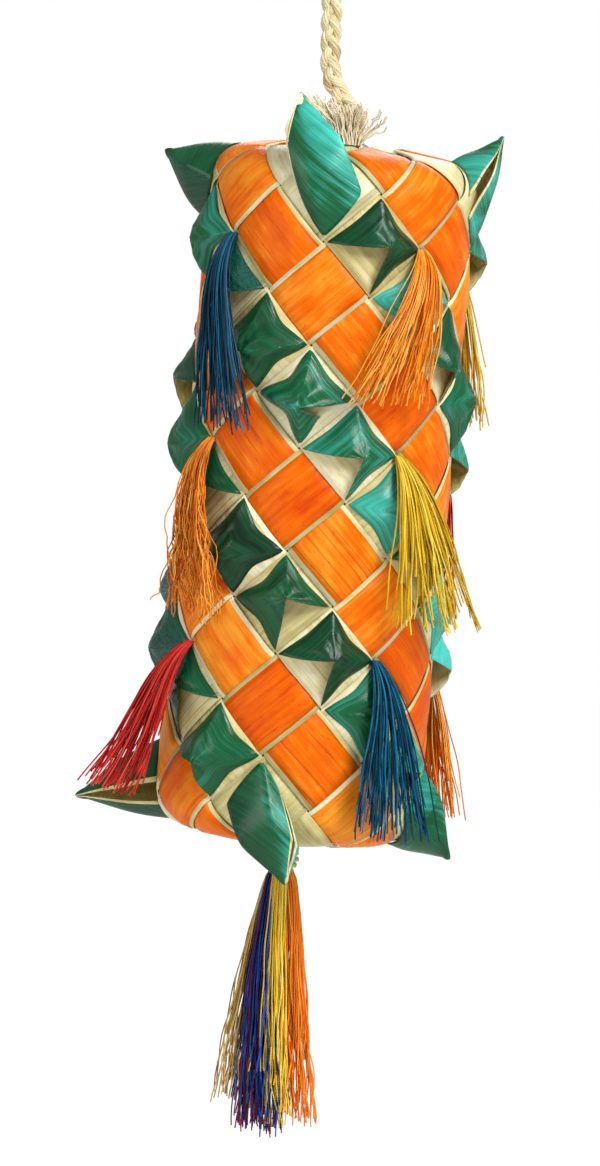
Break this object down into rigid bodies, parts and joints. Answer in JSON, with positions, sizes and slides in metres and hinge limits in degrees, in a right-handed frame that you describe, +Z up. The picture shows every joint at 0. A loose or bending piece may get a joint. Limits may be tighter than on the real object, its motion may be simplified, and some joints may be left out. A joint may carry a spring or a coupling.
{
  "type": "hanging foraging pinata",
  "caption": "Round drum plaited on the bias from dyed palm leaf with folded points, corner leaves, fibre tassels, a tail and a rope loop to hang it by.",
  "frame": {"origin": "inside top of the hanging loop, where a hook carries it", "axes": "+Z up along the drum's axis, -Y to the front, +X to the right of the front"},
  "size_m": [0.1327, 0.113, 0.454],
  "materials": {
    "orange_leaf": "dyed palm leaf strip, satin, fine lengthwise ribs and small flecks",
    "cream_leaf": "undyed dried palm leaf, satin, lengthwise ribs",
    "green_leaf": "dyed palm leaf, glossy, folded",
    "filling": "shredded leaf",
    "rope": "braided natural fibre rope",
    "blue_fibre": "dyed leaf fibre",
    "orange_fibre": "dyed leaf fibre",
    "yellow_fibre": "dyed leaf fibre",
    "red_fibre": "dyed leaf fibre",
    "natural_fibre": "undyed leaf fibre"
  },
  "bodies": {
    "hanger": {"hanging_loop": "rope"},
    "rope": {"loop_knot": "rope", "rope_stretch": "rope"},
    "rope_tuft": {"rope_tuft": "rope"},
    "pinata": {"orange_strip_right_0": "orange_leaf", "cream_strip_right_1": "cream_leaf", "orange_strip_right_2": "orange_leaf", "cream_strip_right_3": "cream_leaf", "orange_strip_right_4": "orange_leaf", "cream_strip_right_5": "cream_leaf", "orange_strip_right_6": "orange_leaf", "cream_strip_right_7": "cream_leaf", "orange_strip_left_0": "orange_leaf", "cream_strip_left_1": "cream_leaf", "orange_strip_left_2": "orange_leaf", "cream_strip_left_3": "cream_leaf", "orange_strip_left_4": "orange_leaf", "cream_strip_left_5": "cream_leaf", "orange_strip_left_6": "orange_leaf", "cream_strip_left_7": "cream_leaf", "green_points_right_1": "green_leaf", "green_points_right_3": "green_leaf", "green_points_right_5": "green_leaf", "green_points_right_7": "green_leaf", "green_points_left_1": "green_leaf", "green_points_left_3": "green_leaf", "green_points_left_5": "green_leaf", "green_points_left_7": "green_leaf", "top_corner_front": "green_leaf", "top_corner_right": "green_leaf", "top_corner_back": "green_leaf", "top_corner_left": "green_leaf", "bottom_corner_front": "green_leaf", "bottom_corner_right": "green_leaf", "bottom_corner_back": "green_leaf", "bottom_corner_left": "green_leaf", "filling": "filling", "top_end_mat": "cream_leaf", "bottom_end_mat": "cream_leaf", "core_cord": "rope"},
    "tail_tie": {"tail_tie": "rope"},
    "tail": {"tail_yellow": "yellow_fibre", "tail_orange": "orange_fibre", "tail_red": "red_fibre", "tail_natural": "natural_fibre", "tail_blue": "blue_fibre"},
    "tassel_upper_left": {"tassel_upper_left": "blue_fibre"},
    "tassel_upper_right": {"tassel_upper_right": "orange_fibre"},
    "tassel_middle_left": {"tassel_middle_left": "orange_fibre"},
    "tassel_middle_right": {"tassel_middle_right": "yellow_fibre"},
    "tassel_lower_left": {"tassel_lower_left": "red_fibre"},
    "tassel_lower_right": {"tassel_lower_right": "blue_fibre"},
    "tassel_upper_back_left": {"tassel_upper_back_left": "red_fibre"},
    "tassel_upper_back_right": {"tassel_upper_back_right": "yellow_fibre"},
    "tassel_middle_back_left": {"tassel_middle_back_left": "blue_fibre"},
    "tassel_middle_back_right": {"tassel_middle_back_right": "red_fibre"},
    "tassel_lower_back_left": {"tassel_lower_back_left": "yellow_fibre"},
    "tassel_lower_back_right": {"tassel_lower_back_right": "orange_fibre"}
  },
  "joints": [
    {"name": "rope_swing", "type": "hinge", "parent": "hanger", "child": "rope", "pos_m": [0, 0, -0.0372], "axis": [1, 0, 0], "range_deg": [-40, 40]},
    {"name": "pinata_side_swing", "type": "hinge", "parent": "rope", "child": "rope_tuft", "pos_m": [0.01, 0, -0.0961], "axis": [0, 1, 0], "range_deg": [-35, 35]},
    {"name": "pinata_turn", "type": "hinge", "parent": "rope_tuft", "child": "pinata", "pos_m": [0.01, 0, -0.0961], "axis": [0, 0, 1], "range_deg": [-180, 180]},
    {"name": "tail_swing", "type": "hinge", "parent": "pinata", "child": "tail_tie", "pos_m": [0.01, 0, -0.3508], "axis": [1, 0, 0], "range_deg": [-40, 40]},
    {"name": "tail_side_swing", "type": "hinge", "parent": "tail_tie", "child": "tail", "pos_m": [0.01, 0, -0.3508], "axis": [0, 1, 0], "range_deg": [-40, 40]},
    {"name": "upper_left_tassel_lift", "type": "hinge", "parent": "pinata", "child": "tassel_upper_left", "pos_m": [-0.0284, -0.0305, -0.1348], "axis": [-0.6225, 0.7826, 0], "range_deg": [0, 70]},
    {"name": "upper_right_tassel_lift", "type": "hinge", "parent": "pinata", "child": "tassel_upper_right", "pos_m": [0.0405, -0.0384, -0.1348], "axis": [-0.7826, -0.6225, 0], "range_deg": [0, 70]},
    {"name": "middle_left_tassel_lift", "type": "hinge", "parent": "pinata", "child": "tassel_middle_left", "pos_m": [-0.0296, -0.0289, -0.2055], "axis": [-0.5892, 0.808, 0], "range_deg": [0, 70]},
    {"name": "middle_right_tassel_lift", "type": "hinge", "parent": "pinata", "child": "tassel_middle_right", "pos_m": [0.0389, -0.0396, -0.2055], "axis": [-0.808, -0.5892, 0], "range_deg": [0, 70]},
    {"name": "lower_left_tassel_lift", "type": "hinge", "parent": "pinata", "child": "tassel_lower_left", "pos_m": [-0.0308, -0.0272, -0.2762], "axis": [-0.5548, 0.832, 0], "range_deg": [0, 70]},
    {"name": "lower_right_tassel_lift", "type": "hinge", "parent": "pinata", "child": "tassel_lower_right", "pos_m": [0.0372, -0.0408, -0.2762], "axis": [-0.832, -0.5548, 0], "range_deg": [0, 70]},
    {"name": "upper_back_left_tassel_lift", "type": "hinge", "parent": "pinata", "child": "tassel_upper_back_left", "pos_m": [-0.0205, 0.0384, -0.1348], "axis": [0.7826, 0.6225, 0], "range_deg": [0, 70]},
    {"name": "upper_back_right_tassel_lift", "type": "hinge", "parent": "pinata", "child": "tassel_upper_back_right", "pos_m": [0.0484, 0.0305, -0.1348], "axis": [0.6225, -0.7826, 0], "range_deg": [0, 70]},
    {"name": "middle_back_left_tassel_lift", "type": "hinge", "parent": "pinata", "child": "tassel_middle_back_left", "pos_m": [-0.0189, 0.0396, -0.2055], "axis": [0.808, 0.5892, 0], "range_deg": [0, 70]},
    {"name": "middle_back_right_tassel_lift", "type": "hinge", "parent": "pinata", "child": "tassel_middle_back_right", "pos_m": [0.0496, 0.0289, -0.2055], "axis": [0.5892, -0.808, 0], "range_deg": [0, 70]},
    {"name": "lower_back_left_tassel_lift", "type": "hinge", "parent": "pinata", "child": "tassel_lower_back_left", "pos_m": [-0.0172, 0.0408, -0.2762], "axis": [0.832, 0.5548, 0], "range_deg": [0, 70]},
    {"name": "lower_back_right_tassel_lift", "type": "hinge", "parent": "pinata", "child": "tassel_lower_back_right", "pos_m": [0.0508, 0.0272, -0.2762], "axis": [0.5548, -0.832, 0], "range_deg": [0, 70]}
  ]
}
